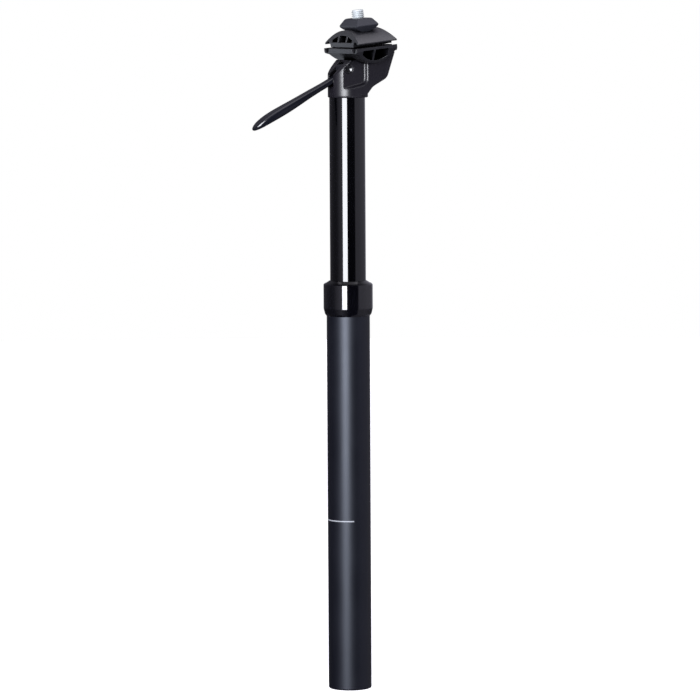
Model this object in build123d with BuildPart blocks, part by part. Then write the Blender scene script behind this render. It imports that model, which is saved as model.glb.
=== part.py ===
"""Dropper seatpost with a lever under the saddle clamp, in millimetres, +Z up.

The origin is on the post's axis at the underside of the seal collar. The front of the
bicycle is towards -X, and the saddle clamp is set back towards +X. The post stands at
its full height, with the lever released and the saddle clamp tipped nose down.
"""

import os
from math import cos, radians, sin, sqrt

from build123d import *

os.makedirs("parts", exist_ok=True)

# Fits between pieces, as radial clearances
RUNNING = 0.05
SEATED = 0.03
OVERRUN = 2.0

# Lower post
POST_D = 27.2
POST_WALL = 1.7
POST_LENGTH = 236.7
POST_FOOT_ROUND = 1.0
NECK_D = 26.0

# Upper post and its travel
TRAVEL = 100.0
STANCHION_D = 22.5
STANCHION_WALL = 1.6
STANCHION_SHOWN = 137.2
STANCHION_HIDDEN = 110.0

# Seal collar and what it holds
COLLAR_D = 31.0
COLLAR_H = 20.6
COLLAR_CHAMFER = 0.8
COLLAR_FOOT_H = 4.8
COLLAR_FOOT_D = 29.3
COLLAR_FOOT_EDGE = 1.3
COLLAR_FOOT_ROUND = 1.6
COLLAR_RIM = 1.25
COLLAR_SHELF = 0.75
FOAM_H = 1.6
WIPER_H = 2.35
WIPER_LIP_H = 1.6
WIPER_LIP_T = 0.5
FLANGE_T = 0.9

# Guides of the upper post
UPPER_BUSHING_DEPTH = 16.0
LOWER_BUSHING_H = 12.0
BUSHING_LAND = 0.4
STANCHION_LIP = 2.0
KEY_D = 2.0
KEY_LENGTH = 12.0
KEY_COUNT = 3
KEY_RISE = 3.0

# Foot of the lower post
CIRCLIP_T = 1.0
CIRCLIP_W = 1.4
CIRCLIP_BITE = 0.4
CIRCLIP_GAP = 5.0
FOOT_RECESS = 2.4
BASE_PLUG_H = 12.0
ROD_D = 5.0
ROD_NUT_AF = 8.0
ROD_NUT_H = 4.0
ROD_WASHER_D = 11.0
ROD_WASHER_T = 1.0
ROD_END = 1.5

# Gas and oil cartridge inside the upper post
CARTRIDGE_D = 17.5
GAS_WALL = 1.0
OIL_BORE = 10.0
OIL_WALL = 0.9
ROD_GUIDE_H = 12.0
GUIDE_SPIGOT_H = 6.0
ROD_SEAL_H = 3.0
ROD_SEAL_D = 8.4
BUMPER_D = 8.6
BUMPER_H = 3.0
PISTON_H = 8.0
PISTON_RING_H = 3.0
PISTON_RING_T = 0.9
ROD_TENON_D = 3.0
FLOATER_H = 10.0
FLOATER_DROP = 25.0
FLOATER_RING_H = 1.8
FLOATER_RING_T = 0.5
VALVE_BLOCK_H = 15.0
VALVE_SPIGOT_H = 4.0
CARTRIDGE_NECK_D = 10.0
CARTRIDGE_NECK_H = 19.0
VALVE_PORT_D = 1.6
VALVE_PIN_D = 3.0
VALVE_PIN_SHOWN = 7.6
VALVE_HEAD_D = 5.0
VALVE_HEAD_H = 2.0
VALVE_WELL_D = 6.4
VALVE_WELL_H = 7.0
PIN_SEAL_D = 5.4
PIN_SEAL_H = 2.0
CENTRING_H = 6.0

# Seat head, heights above the top of the upper post
HEAD_D = 24.2
BARREL_STRETCH = 1.1
HEAD_FOOT_ROUND = 0.8
CHEEK_FRONT_H = 13.4
LIP_H = 23.4
LIP_X = -2.2
HORN_H = 28.5
HORN_X = 28.3
HEEL_H = 12.2
HEEL_X = 23.0
HEEL_ROUND = 6.0
KNEE_X = 13.4
KNEE_H = 6.8
KNEE_ROUND = 8.0
FLARE_X = 9.1
FLARE_H = 1.4
BROW_ROUND = 7.5
HEAD_CORNER = 2.4
SLOT_W = 8.6
SLOT_FLOOR_H = 6.8
SLOT_BACK_X = 3.3
SLOT_ROOF_H = 21.8
CHANNEL_W = 13.6
CHANNEL_FRONT_X = 4.5
CHANNEL_FLOOR_H = 6.8
CHANNEL_SILL_X = 13.5
CHANNEL_SILL_H = 2.4
CHANNEL_BACK_ANGLE = 45.0
POCKET_DEPTH = 2.0
POCKET_BACK_X = 7.7
POCKET_DRAFT = 34.0
POCKET_FLOOR_H = 6.0
POCKET_FLOOR_RISE = 3.4
POCKET_BROW = 2.4
POCKET_ROUND = 3.0
POCKET_SOFT = 0.5

# Saddle clamp: setback, cradle and tilt
SETBACK = 9.3
CRADLE_H = 36.2
CRADLE_R = 14.5
CRADLE_WEB = 4.4
CLAMP_TILT = 6.3
TILT_LEAST = 4.0
TILT_MOST = 24.3

# Saddle rails
RAIL_D = 7.0
RAIL_SPACING = 44.0
RAIL_DROP = 3.6

# Lower clamp, in the tilted frame of the cradle's centre
LOWER_TOP = 4.2
RAIL_LIP = 0.9
LOWER_FRONT = 14.5
LOWER_BACK = 13.2
LOWER_FRONT_LIP = 3.0
LOWER_BACK_LIP = 3.7
BELLY_FRONT = 8.4
BELLY_BACK = 8.0
LOWER_EDGE_H = 2.0
BELLY_INSET = 6.4
RAIL_WALL = 1.1
BELLY_POCKET_X = 8.6
BELLY_POCKET_SHIFT = 1.2
BELLY_POCKET_TOP = 5.9
BELLY_POCKET_WALL = 1.7
BELLY_POCKET_DEPTH = 11.0
BELLY_RIB = 1.1
BELLY_RIB_X = 2.0

# Upper clamp
ARCH_OVERHANG = 1.0
ARCH_RIDGE = 6.8
ARCH_TIP = 1.1
ARCH_TIP_T = 0.7
UPPER_BOTTOM = 3.5
UPPER_HALF = 13.0
UPPER_RAKE_START = 0.6
UPPER_RAKE = 2.9
ARCH_FOOT_IN = 1.0
ARCH_ROOT_IN = 3.8
WINDOW_FLOOR = 0.6
WINDOW_WALL = 3.1
WINDOW_DEPTH = 7.0
WINDOW_MIDDLE = 11.4
WINDOW_RIB = 1.8
WINDOW_SIDE = 8.8

# Barrel nut, bolt and half-round washer
NUT_LENGTH = 29.0
NUT_WIDTH = 14.4
NUT_BELLY_R = 9.0
NUT_SEAT = 4.7
NUT_H = 8.7
NUT_TOP_W = 9.2
NUT_CHEEK_H = 1.3
NUT_CHISEL = 4.0
NUT_ROUND = 2.4
NUT_CHEEK_ROUND = 1.2
BOLT_D = 8.0
BOLT_HOLE_D = 8.6
BOLT_TIP = 18.6
BOLT_TIP_CHAMFER = 0.8
BOLT_HEAD_D = 12.0
BOLT_HEAD_H = 6.0
BOLT_HEAD_EDGE = 0.6
BOLT_HEX_AF = 6.0
BOLT_HEX_DEPTH = 3.4
WASHER_T = 3.3
WASHER_HALF = 5.8
WASHER_W = 12.6

# Lever, its pivot and its adjuster
PIVOT_X = -3.1
PIVOT_H = 17.8
PIVOT_D = 4.0
PIVOT_HEAD_D = 5.4
PIVOT_HEAD_T = 1.0
PIVOT_SINK = 0.2
PIVOT_HEX_AF = 2.5
PIVOT_HEX_DEPTH = 0.7
LEVER_HUB_D = 6.6
LEVER_HUB_W = 8.0
LEVER_REACH = 60.4
LEVER_DROP = 37.4
LEVER_T = 5.0
LEVER_EDGE_SHARE = 0.34
LEVER_PADDLE_W = 11.6
LEVER_NOSE_X = 5.9
LEVER_NOSE_TOP = 2.0
ADJUSTER_D = 3.0
ADJUSTER_ARM = 3.7
ADJUSTER_TIP = 5.25
ADJUSTER_TOP = 2.6
LOCKNUT_AF = 3.8
LOCKNUT_H = 1.0

# Sections of the lever's blade, from root to tip: shares of its reach and its drop,
# then of its thickness and of its paddle's width
BLADE_SHARES = (
    (0.020, 0.075, 0.62, 0.68),
    (0.080, 0.145, 0.62, 0.69),
    (0.189, 0.251, 0.64, 0.70),
    (0.437, 0.467, 0.80, 0.80),
    (0.649, 0.655, 1.00, 0.92),
    (0.793, 0.778, 0.96, 1.00),
    (0.901, 0.882, 0.76, 0.93),
    (0.968, 0.958, 0.46, 0.64),
    (0.993, 0.992, 0.20, 0.28),
)


def ring(inner_r, outer_r, low, high):
    """A plain ring round the post's axis, between two heights."""
    with BuildPart() as piece:
        with BuildSketch(Plane.XY.offset(low)):
            Circle(outer_r)
            Circle(inner_r, mode=Mode.SUBTRACT)
        extrude(amount=high - low)
    return piece


def turned(*points):
    """A piece turned about the post's axis from an outline of radii and heights."""
    with BuildPart() as piece:
        with BuildSketch(Plane.XZ):
            with BuildLine():
                Polyline(*points, close=True)
            make_face()
        revolve(axis=Axis.Z)
    return piece


# Radii and heights that several pieces share
post_r = POST_D / 2
post_bore = post_r - POST_WALL
neck_r = NECK_D / 2
neck_length = COLLAR_H - WIPER_H - FOAM_H - COLLAR_SHELF - FLANGE_T
stanchion_r = STANCHION_D / 2
stanchion_bore = stanchion_r - STANCHION_WALL
guide_r = stanchion_r + RUNNING
foot_z = -POST_LENGTH
key_r = KEY_D / 2
stanchion_foot = -STANCHION_HIDDEN
bushing_low = stanchion_foot + STANCHION_LIP
bushing_high = bushing_low + LOWER_BUSHING_H
key_low = bushing_high + KEY_RISE

# Lower post: a tube with a thinner threaded neck, keyways and a circlip groove
plug_low = foot_z + FOOT_RECESS + CIRCLIP_T
with BuildPart() as outer_tube:
    with BuildSketch(Plane.XZ):
        with BuildLine():
            Polyline(
                (post_bore, foot_z),
                (post_r, foot_z),
                (post_r, 0),
                (neck_r, 0),
                (neck_r, neck_length),
                (post_bore, neck_length),
                close=True,
            )
        make_face()
    revolve(axis=Axis.Z)
    foot_edge = outer_tube.edges().group_by(Axis.Z)[0].sort_by(SortBy.LENGTH)[-1]
    fillet(foot_edge, radius=POST_FOOT_ROUND)
    with BuildSketch(Plane.XY.offset(key_low - TRAVEL - KEY_RISE)):
        with PolarLocations(stanchion_r, KEY_COUNT):
            Circle(key_r + RUNNING)
    extrude(amount=TRAVEL + KEY_LENGTH + 2 * KEY_RISE, mode=Mode.SUBTRACT)
    with BuildSketch(Plane.XY.offset(plug_low - CIRCLIP_T)):
        Circle(post_bore + CIRCLIP_BITE)
    extrude(amount=CIRCLIP_T, mode=Mode.SUBTRACT)

# Upper bushing: a flanged sleeve held between the neck and the collar
upper_bushing = turned(
    (guide_r, -UPPER_BUSHING_DEPTH),
    (post_bore - SEATED, -UPPER_BUSHING_DEPTH),
    (post_bore - SEATED, neck_length),
    (neck_r, neck_length),
    (neck_r, neck_length + FLANGE_T),
    (guide_r, neck_length + FLANGE_T),
)

# Seal collar: threaded on the neck, with a shelf over the bushing and a seal pocket
collar_r = COLLAR_D / 2
shelf_low = neck_length + FLANGE_T
shelf_high = shelf_low + COLLAR_SHELF
pocket_r = collar_r - COLLAR_RIM
shelf_r = (neck_r + guide_r) / 2
with BuildPart() as seal_collar:
    with BuildSketch(Plane.XZ) as collar_section:
        with BuildLine():
            Polyline(
                (post_r, 0),
                (neck_r + SEATED, 0),
                (neck_r + SEATED, shelf_low),
                (shelf_r, shelf_low),
                (shelf_r, shelf_high),
                (pocket_r, shelf_high),
                (pocket_r, COLLAR_H),
                (collar_r - COLLAR_CHAMFER, COLLAR_H),
                (collar_r, COLLAR_H - COLLAR_CHAMFER),
                (collar_r, COLLAR_FOOT_H),
                (COLLAR_FOOT_D / 2, COLLAR_FOOT_EDGE),
                close=True,
            )
        make_face()
        taper_end = collar_section.vertices().sort_by_distance(
            (COLLAR_FOOT_D / 2, COLLAR_FOOT_EDGE)
        )[0]
        fillet(taper_end, radius=COLLAR_FOOT_ROUND)
    revolve(axis=Axis.Z)

# Foam ring and wiper seal in the collar's pocket
foam_high = shelf_high + FOAM_H
foam_ring = ring(guide_r, pocket_r - SEATED, shelf_high, foam_high)
wiper_seal = turned(
    (guide_r, foam_high),
    (pocket_r - SEATED, foam_high),
    (pocket_r - SEATED, COLLAR_H),
    (guide_r + WIPER_LIP_T, COLLAR_H + WIPER_LIP_H),
    (guide_r, COLLAR_H + WIPER_LIP_H),
)

# Upper post: a tube with a bushing land, key pockets and a circlip groove
land_r = stanchion_r - BUSHING_LAND
retainer_low = stanchion_foot + STANCHION_LIP + CIRCLIP_T
cartridge_low = retainer_low + CIRCLIP_T
with BuildPart() as stanchion:
    with BuildSketch(Plane.XY.offset(stanchion_foot)):
        Circle(stanchion_r)
        Circle(stanchion_bore, mode=Mode.SUBTRACT)
    extrude(amount=STANCHION_HIDDEN + STANCHION_SHOWN)
    with BuildSketch(Plane.XY.offset(bushing_low)):
        Circle(stanchion_r + OVERRUN)
        Circle(land_r, mode=Mode.SUBTRACT)
    extrude(amount=LOWER_BUSHING_H, mode=Mode.SUBTRACT)
    with BuildSketch(Plane.XY.offset(key_low)):
        with PolarLocations(stanchion_r, KEY_COUNT):
            Circle(key_r + SEATED)
    extrude(amount=KEY_LENGTH, mode=Mode.SUBTRACT)
    with BuildSketch(Plane.XY.offset(retainer_low)):
        Circle(stanchion_bore + CIRCLIP_BITE)
    extrude(amount=CIRCLIP_T, mode=Mode.SUBTRACT)

lower_bushing = ring(land_r + SEATED, post_bore - RUNNING, bushing_low, bushing_high)

# Three brass keys, half in the upper post and half in the lower post's keyways
with BuildPart() as anti_rotation_keys:
    with BuildSketch(Plane.XY.offset(key_low)):
        with PolarLocations(stanchion_r, KEY_COUNT):
            Circle(key_r)
    extrude(amount=KEY_LENGTH)


def snap_ring(bore, low):
    """An open internal circlip that bites into a bore's groove."""
    with BuildPart() as piece:
        with BuildSketch(Plane.XY.offset(low)):
            Circle(bore + CIRCLIP_BITE - SEATED)
            Circle(bore - CIRCLIP_W, mode=Mode.SUBTRACT)
            with Locations((0, -bore)):
                Rectangle(CIRCLIP_GAP, bore, mode=Mode.SUBTRACT)
        extrude(amount=CIRCLIP_T)
    return piece


cartridge_circlip = snap_ring(stanchion_bore, retainer_low)
base_circlip = snap_ring(post_bore, plug_low - CIRCLIP_T)

# Base plug: carries the piston rod, with a recess for the rod's nut and washer
rod_r = ROD_D / 2
tenon_r = ROD_TENON_D / 2
plug_high = plug_low + BASE_PLUG_H
nut_low = plug_low + ROD_END
washer_low = nut_low + ROD_NUT_H
washer_high = washer_low + ROD_WASHER_T
washer_r = ROD_WASHER_D / 2
base_plug = turned(
    (rod_r + SEATED, washer_high),
    (washer_r + SEATED, washer_high),
    (washer_r + SEATED, plug_low),
    (post_bore - SEATED, plug_low),
    (post_bore - SEATED, plug_high),
    (rod_r + SEATED, plug_high),
)
rod_washer = ring(rod_r + SEATED, washer_r, washer_low, washer_high)
with BuildPart() as rod_nut:
    with BuildSketch(Plane.XY.offset(nut_low)):
        RegularPolygon(ROD_NUT_AF / 2, 6, major_radius=False)
        Circle(rod_r + SEATED, mode=Mode.SUBTRACT)
    extrude(amount=ROD_NUT_H)

# Cartridge: gas cylinder outside, oil tube inside, a rod guide below, a valve block above
gas_r = CARTRIDGE_D / 2
gas_bore = gas_r - GAS_WALL
oil_r = OIL_BORE / 2
oil_out = oil_r + OIL_WALL
head_z = STANCHION_SHOWN
neck_top = head_z + SLOT_FLOOR_H - OVERRUN
block_high = neck_top - CARTRIDGE_NECK_H
block_low = block_high - VALVE_BLOCK_H
guide_high = cartridge_low + ROD_GUIDE_H
gas_low = cartridge_low
gas_cylinder = ring(gas_bore, gas_r, gas_low, block_high)
oil_tube = ring(oil_r, oil_out, guide_high, block_low)
rod_guide = turned(
    (rod_r + RUNNING, gas_low + ROD_SEAL_H),
    (ROD_SEAL_D / 2 + SEATED, gas_low + ROD_SEAL_H),
    (ROD_SEAL_D / 2 + SEATED, gas_low),
    (gas_bore - SEATED, gas_low),
    (gas_bore - SEATED, guide_high),
    (oil_r - SEATED, guide_high),
    (oil_r - SEATED, guide_high + GUIDE_SPIGOT_H),
    (rod_r + RUNNING, guide_high + GUIDE_SPIGOT_H),
)
rod_seal = ring(rod_r + RUNNING, ROD_SEAL_D / 2, gas_low, gas_low + ROD_SEAL_H)
bumper_low = guide_high + GUIDE_SPIGOT_H
piston_low = bumper_low + BUMPER_H
topout_bumper = ring(rod_r + RUNNING, BUMPER_D / 2, bumper_low, piston_low)

# Piston rod with a thin tenon for the piston, and the piston with its ring
piston_high = piston_low + PISTON_H
piston_rod = turned(
    (0, plug_low),
    (rod_r, plug_low),
    (rod_r, piston_low),
    (tenon_r, piston_low),
    (tenon_r, piston_high + tenon_r),
    (0, piston_high + tenon_r),
)
piston_r = oil_r - RUNNING
ring_low = piston_low + (PISTON_H - PISTON_RING_H) / 2
ring_high = ring_low + PISTON_RING_H
piston = turned(
    (tenon_r + SEATED, piston_low),
    (piston_r, piston_low),
    (piston_r, ring_low),
    (piston_r - PISTON_RING_T, ring_low),
    (piston_r - PISTON_RING_T, ring_high),
    (piston_r, ring_high),
    (piston_r, piston_high),
    (tenon_r + SEATED, piston_high),
)
piston_ring = ring(piston_r - PISTON_RING_T + SEATED, piston_r, ring_low, ring_high)

# Floating piston: a ring between the two tubes, grooved inside and outside
floater_high = block_low - FLOATER_DROP
floater_low = floater_high - FLOATER_H
floater_in = oil_out + RUNNING
floater_out = gas_bore - RUNNING
seal_low = floater_low + (FLOATER_H - FLOATER_RING_H) / 2
seal_high = seal_low + FLOATER_RING_H
floating_piston = turned(
    (floater_in, floater_low),
    (floater_out, floater_low),
    (floater_out, seal_low),
    (floater_out - FLOATER_RING_T, seal_low),
    (floater_out - FLOATER_RING_T, seal_high),
    (floater_out, seal_high),
    (floater_out, floater_high),
    (floater_in, floater_high),
    (floater_in, seal_high),
    (floater_in + FLOATER_RING_T, seal_high),
    (floater_in + FLOATER_RING_T, seal_low),
    (floater_in, seal_low),
)
with BuildPart() as floating_piston_rings:
    with BuildSketch(Plane.XY.offset(seal_low)):
        Circle(floater_out)
        Circle(floater_out - FLOATER_RING_T + SEATED, mode=Mode.SUBTRACT)
        Circle(floater_in + FLOATER_RING_T - SEATED)
        Circle(floater_in, mode=Mode.SUBTRACT)
    extrude(amount=FLOATER_RING_H)

# Valve block: closes both tubes, screws into the head and guides the valve pin
neck_in = VALVE_PIN_D / 2 + RUNNING
well_r = VALVE_WELL_D / 2
well_low = block_low - VALVE_SPIGOT_H
well_high = well_low + VALVE_WELL_H
pin_seal_high = neck_top
pin_seal_low = pin_seal_high - PIN_SEAL_H
with BuildPart() as valve_block:
    with BuildSketch(Plane.XZ):
        with BuildLine():
            Polyline(
                (neck_in, well_high),
                (well_r, well_high),
                (well_r, well_low),
                (oil_r - SEATED, well_low),
                (oil_r - SEATED, block_low),
                (gas_bore - SEATED, block_low),
                (gas_bore - SEATED, block_high),
                (CARTRIDGE_NECK_D / 2, block_high),
                (CARTRIDGE_NECK_D / 2, neck_top),
                (PIN_SEAL_D / 2 + SEATED, neck_top),
                (PIN_SEAL_D / 2 + SEATED, pin_seal_low),
                (neck_in, pin_seal_low),
                close=True,
            )
        make_face()
    revolve(axis=Axis.Z)
    with BuildSketch(Plane.YZ):
        with Locations((0, well_high - VALVE_PORT_D)):
            Circle(VALVE_PORT_D / 2)
    extrude(amount=gas_r, both=True, mode=Mode.SUBTRACT)
valve_pin_seal = ring(neck_in, PIN_SEAL_D / 2, pin_seal_low, pin_seal_high)

# Valve pin: its head seals the well, and its top meets the lever's adjuster
pin_r = VALVE_PIN_D / 2
pin_top = neck_top + VALVE_PIN_SHOWN
head_top = well_high - RUNNING
valve_pin = turned(
    (0, head_top - VALVE_HEAD_H),
    (VALVE_HEAD_D / 2, head_top - VALVE_HEAD_H),
    (VALVE_HEAD_D / 2, head_top - VALVE_HEAD_H / 2),
    (pin_r, head_top),
    (pin_r, pin_top - pin_r / 2),
    (pin_r / 2, pin_top),
    (0, pin_top),
)

# Ring that keeps the cartridge's foot central in the upper post
centring_ring = ring(
    gas_r + SEATED, stanchion_bore - SEATED, cartridge_low, cartridge_low + CENTRING_H
)

# Tilted planes through the cradle's centre for the saddle clamp's pieces
cradle_z = head_z + CRADLE_H
cradle_centre = (SETBACK, 0, cradle_z)
along = (cos(radians(CLAMP_TILT)), 0, sin(radians(CLAMP_TILT)))
upward = (-sin(radians(CLAMP_TILT)), 0, cos(radians(CLAMP_TILT)))
clamp_side = Plane(origin=cradle_centre, x_dir=along, z_dir=(0, -1, 0))
clamp_front = Plane(origin=cradle_centre, x_dir=(0, 1, 0), z_dir=along)
clamp_top = Plane(origin=cradle_centre, x_dir=along, z_dir=upward)

# Seat head: outline seen from the side, trimmed to its outline seen from above
head_r = HEAD_D / 2
head_top_z = head_z + HORN_H
lip_z = head_z + LIP_H
brow_z = head_z + CHEEK_FRONT_H
pivot_z = head_z + PIVOT_H
cradle_r = CRADLE_R + RUNNING
seat_r = cradle_r + CRADLE_WEB
bolt_r = BOLT_D / 2
hole_r = BOLT_HOLE_D / 2


def radial_point(radius, angle):
    """A point in the XZ plane, at an angle behind straight down from the cradle's centre."""
    return (
        SETBACK + radius * sin(radians(angle)),
        cradle_z - radius * cos(radians(angle)),
    )


# Round barrel of the head, cut off along the sloping brow of its front cheeks
with BuildPart() as head_barrel:
    with BuildSketch(Plane.XY.offset(head_z)):
        with Locations((BARREL_STRETCH / 2, 0)):
            SlotOverall(HEAD_D + BARREL_STRETCH, HEAD_D)
    extrude(amount=LIP_H)
    barrel_foot = head_barrel.edges().group_by(Axis.Z)[0]
    fillet(barrel_foot, radius=HEAD_FOOT_ROUND)
    with BuildSketch(Plane.XZ) as barrel_side:
        with BuildLine():
            Polyline(
                (-head_r, head_z),
                (head_r + BARREL_STRETCH, head_z),
                (head_r + BARREL_STRETCH, lip_z),
                (LIP_X, lip_z),
                (-head_r, brow_z),
                close=True,
            )
        make_face()
        brow = barrel_side.vertices().sort_by_distance((-head_r, brow_z))[0]
        fillet(brow, radius=BROW_ROUND)
    extrude(amount=head_r, both=True, mode=Mode.INTERSECT)

with BuildPart() as seat_head:
    # Set-back body behind the barrel: hollow knee, sloping underside, heel and tall horn
    with BuildSketch(Plane.XZ) as head_side:
        with BuildLine():
            Polyline(
                (0, head_z + FLARE_H),
                (FLARE_X, head_z + FLARE_H),
                (KNEE_X, head_z + KNEE_H),
                (HEEL_X, head_z + HEEL_H),
                (HORN_X, head_top_z),
                (SETBACK, head_top_z),
                (SETBACK, lip_z),
                (0, lip_z),
                close=True,
            )
        make_face()
        heel = head_side.vertices().sort_by_distance((HEEL_X, head_z + HEEL_H))[0]
        fillet(heel, radius=HEEL_ROUND)
        knee = head_side.vertices().sort_by_distance((KNEE_X, head_z + KNEE_H))[0]
        fillet(knee, radius=KNEE_ROUND)
    extrude(amount=head_r, both=True)
    back_faces = [
        face for face in seat_head.faces()
        if face.center().X > SETBACK and face.center().Z < head_top_z - HEAD_CORNER
        and abs(face.center().Y) < HEAD_CORNER
    ]
    back_edges = [
        edge for face in back_faces for edge in face.edges()
        if abs(edge.center().Y) > head_r - HEAD_CORNER / 2
    ]
    fillet(back_edges, radius=HEAD_CORNER)
    add(head_barrel.part)
    # Spigot down into the upper post
    with BuildSketch(Plane.XY.offset(block_high)):
        Circle(stanchion_bore - SEATED)
    extrude(amount=head_z - block_high)
    # Cradle for the lower clamp
    with BuildSketch(Plane.XZ):
        with Locations((SETBACK, cradle_z)):
            Circle(cradle_r)
    extrude(amount=head_r, both=True, mode=Mode.SUBTRACT)
    # Lever slot between the front cheeks
    with BuildSketch(Plane.XZ):
        with BuildLine():
            Polyline(
                (-head_r - OVERRUN, head_z + SLOT_FLOOR_H),
                (SLOT_BACK_X, head_z + SLOT_FLOOR_H),
                (SLOT_BACK_X, head_z + SLOT_ROOF_H),
                (LIP_X, head_z + SLOT_ROOF_H),
                (LIP_X, head_top_z),
                (-head_r - OVERRUN, head_top_z),
                close=True,
            )
        make_face()
    extrude(amount=SLOT_W / 2, both=True, mode=Mode.SUBTRACT)
    # Channel under the cradle for the bolt's head, open below and behind
    with BuildSketch(Plane.XZ):
        with BuildLine():
            Polyline(
                (CHANNEL_FRONT_X, head_z + CHANNEL_FLOOR_H),
                (CHANNEL_SILL_X, head_z + CHANNEL_SILL_H),
                (HORN_X + HORN_H, head_z - HORN_H),
                radial_point(HORN_X + HORN_H, CHANNEL_BACK_ANGLE),
                (SETBACK, cradle_z),
                (CHANNEL_FRONT_X, cradle_z),
                close=True,
            )
        make_face()
        with Locations((SETBACK, cradle_z)):
            Circle(seat_r, mode=Mode.SUBTRACT)
    extrude(amount=CHANNEL_W / 2, both=True, mode=Mode.SUBTRACT)
    # Curved slot that lets the bolt swing with the clamp
    with BuildSketch(Plane.XZ):
        with BuildLine():
            Polyline(
                radial_point(cradle_r - OVERRUN, TILT_LEAST),
                radial_point(seat_r + OVERRUN, TILT_LEAST),
                radial_point(seat_r + OVERRUN, TILT_MOST),
                radial_point(cradle_r - OVERRUN, TILT_MOST),
                close=True,
            )
        make_face()
        offset(amount=hole_r, kind=Kind.ARC)
    extrude(amount=hole_r, both=True, mode=Mode.SUBTRACT)
    # Bore for the cartridge's neck
    with BuildSketch(Plane.XY.offset(block_high)):
        Circle(CARTRIDGE_NECK_D / 2 + SEATED)
    extrude(amount=head_z + SLOT_FLOOR_H - block_high, mode=Mode.SUBTRACT)
    # Shallow side pockets with a sloping floor and a brow along the cheek
    pocket_y = head_r - POCKET_DEPTH
    pocket_x = sqrt(head_r**2 - pocket_y**2)
    pocket_low = head_z + POCKET_FLOOR_H
    slope = (lip_z - brow_z) / (LIP_X + head_r)
    brow_low = brow_z + slope * (head_r - pocket_x) - POCKET_BROW
    for side in (-1, 1):
        with BuildSketch(Plane.XZ.offset(side * pocket_y)) as pocket_outline:
            with BuildLine():
                Polyline(
                    (-pocket_x, pocket_low),
                    (POCKET_BACK_X, pocket_low + POCKET_FLOOR_RISE),
                    (POCKET_BACK_X, cradle_z),
                    (POCKET_BACK_X - pocket_x, cradle_z),
                    (LIP_X + POCKET_BROW, brow_low + slope * (LIP_X + POCKET_BROW + pocket_x)),
                    (-pocket_x, brow_low),
                    close=True,
                )
            make_face()
            corner = pocket_outline.vertices().sort_by_distance(
                (POCKET_BACK_X, pocket_low + POCKET_FLOOR_RISE)
            )[0]
            fillet(corner, radius=POCKET_ROUND)
        extrude(amount=side * POCKET_DEPTH, taper=-POCKET_DRAFT, mode=Mode.SUBTRACT)
    # Soft edges where the pockets' walls meet their floors, then along their rims
    for level in (pocket_y, head_r):
        pocket_edges = [
            edge for edge in seat_head.edges()
            if abs(abs(edge.center().Y) - level) < SEATED
            and PIVOT_X < edge.center().X < POCKET_BACK_X + POCKET_DEPTH
            and pocket_low < edge.center().Z < pivot_z
        ]
        fillet(pocket_edges, radius=POCKET_SOFT)
    # Pivot hole and the screw head's counterbore
    with BuildSketch(Plane.XZ):
        with Locations((PIVOT_X, pivot_z)):
            Circle(PIVOT_D / 2 + SEATED)
    extrude(amount=head_r, both=True, mode=Mode.SUBTRACT)
    with BuildSketch(Plane.XZ.offset(pocket_y - PIVOT_HEAD_T - PIVOT_SINK)):
        with Locations((PIVOT_X, pivot_z)):
            Circle(PIVOT_HEAD_D / 2 + SEATED)
    extrude(amount=head_r, mode=Mode.SUBTRACT)

# Lever pivot screw: across both cheeks, with a hex socket on the -Y side
with BuildPart() as lever_pivot_screw:
    head_face = pocket_y - PIVOT_SINK
    with BuildSketch(Plane.XZ.offset(-head_face)):
        with Locations((PIVOT_X, pivot_z)):
            Circle(PIVOT_D / 2)
    extrude(amount=2 * head_face - PIVOT_HEAD_T)
    with BuildSketch(Plane.XZ.offset(head_face - PIVOT_HEAD_T)):
        with Locations((PIVOT_X, pivot_z)):
            Circle(PIVOT_HEAD_D / 2)
    extrude(amount=PIVOT_HEAD_T)
    with BuildSketch(Plane.XZ.offset(head_face)):
        with Locations((PIVOT_X, pivot_z)):
            RegularPolygon(PIVOT_HEX_AF / 2, 6, major_radius=False)
    extrude(amount=-PIVOT_HEX_DEPTH, mode=Mode.SUBTRACT)


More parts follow.
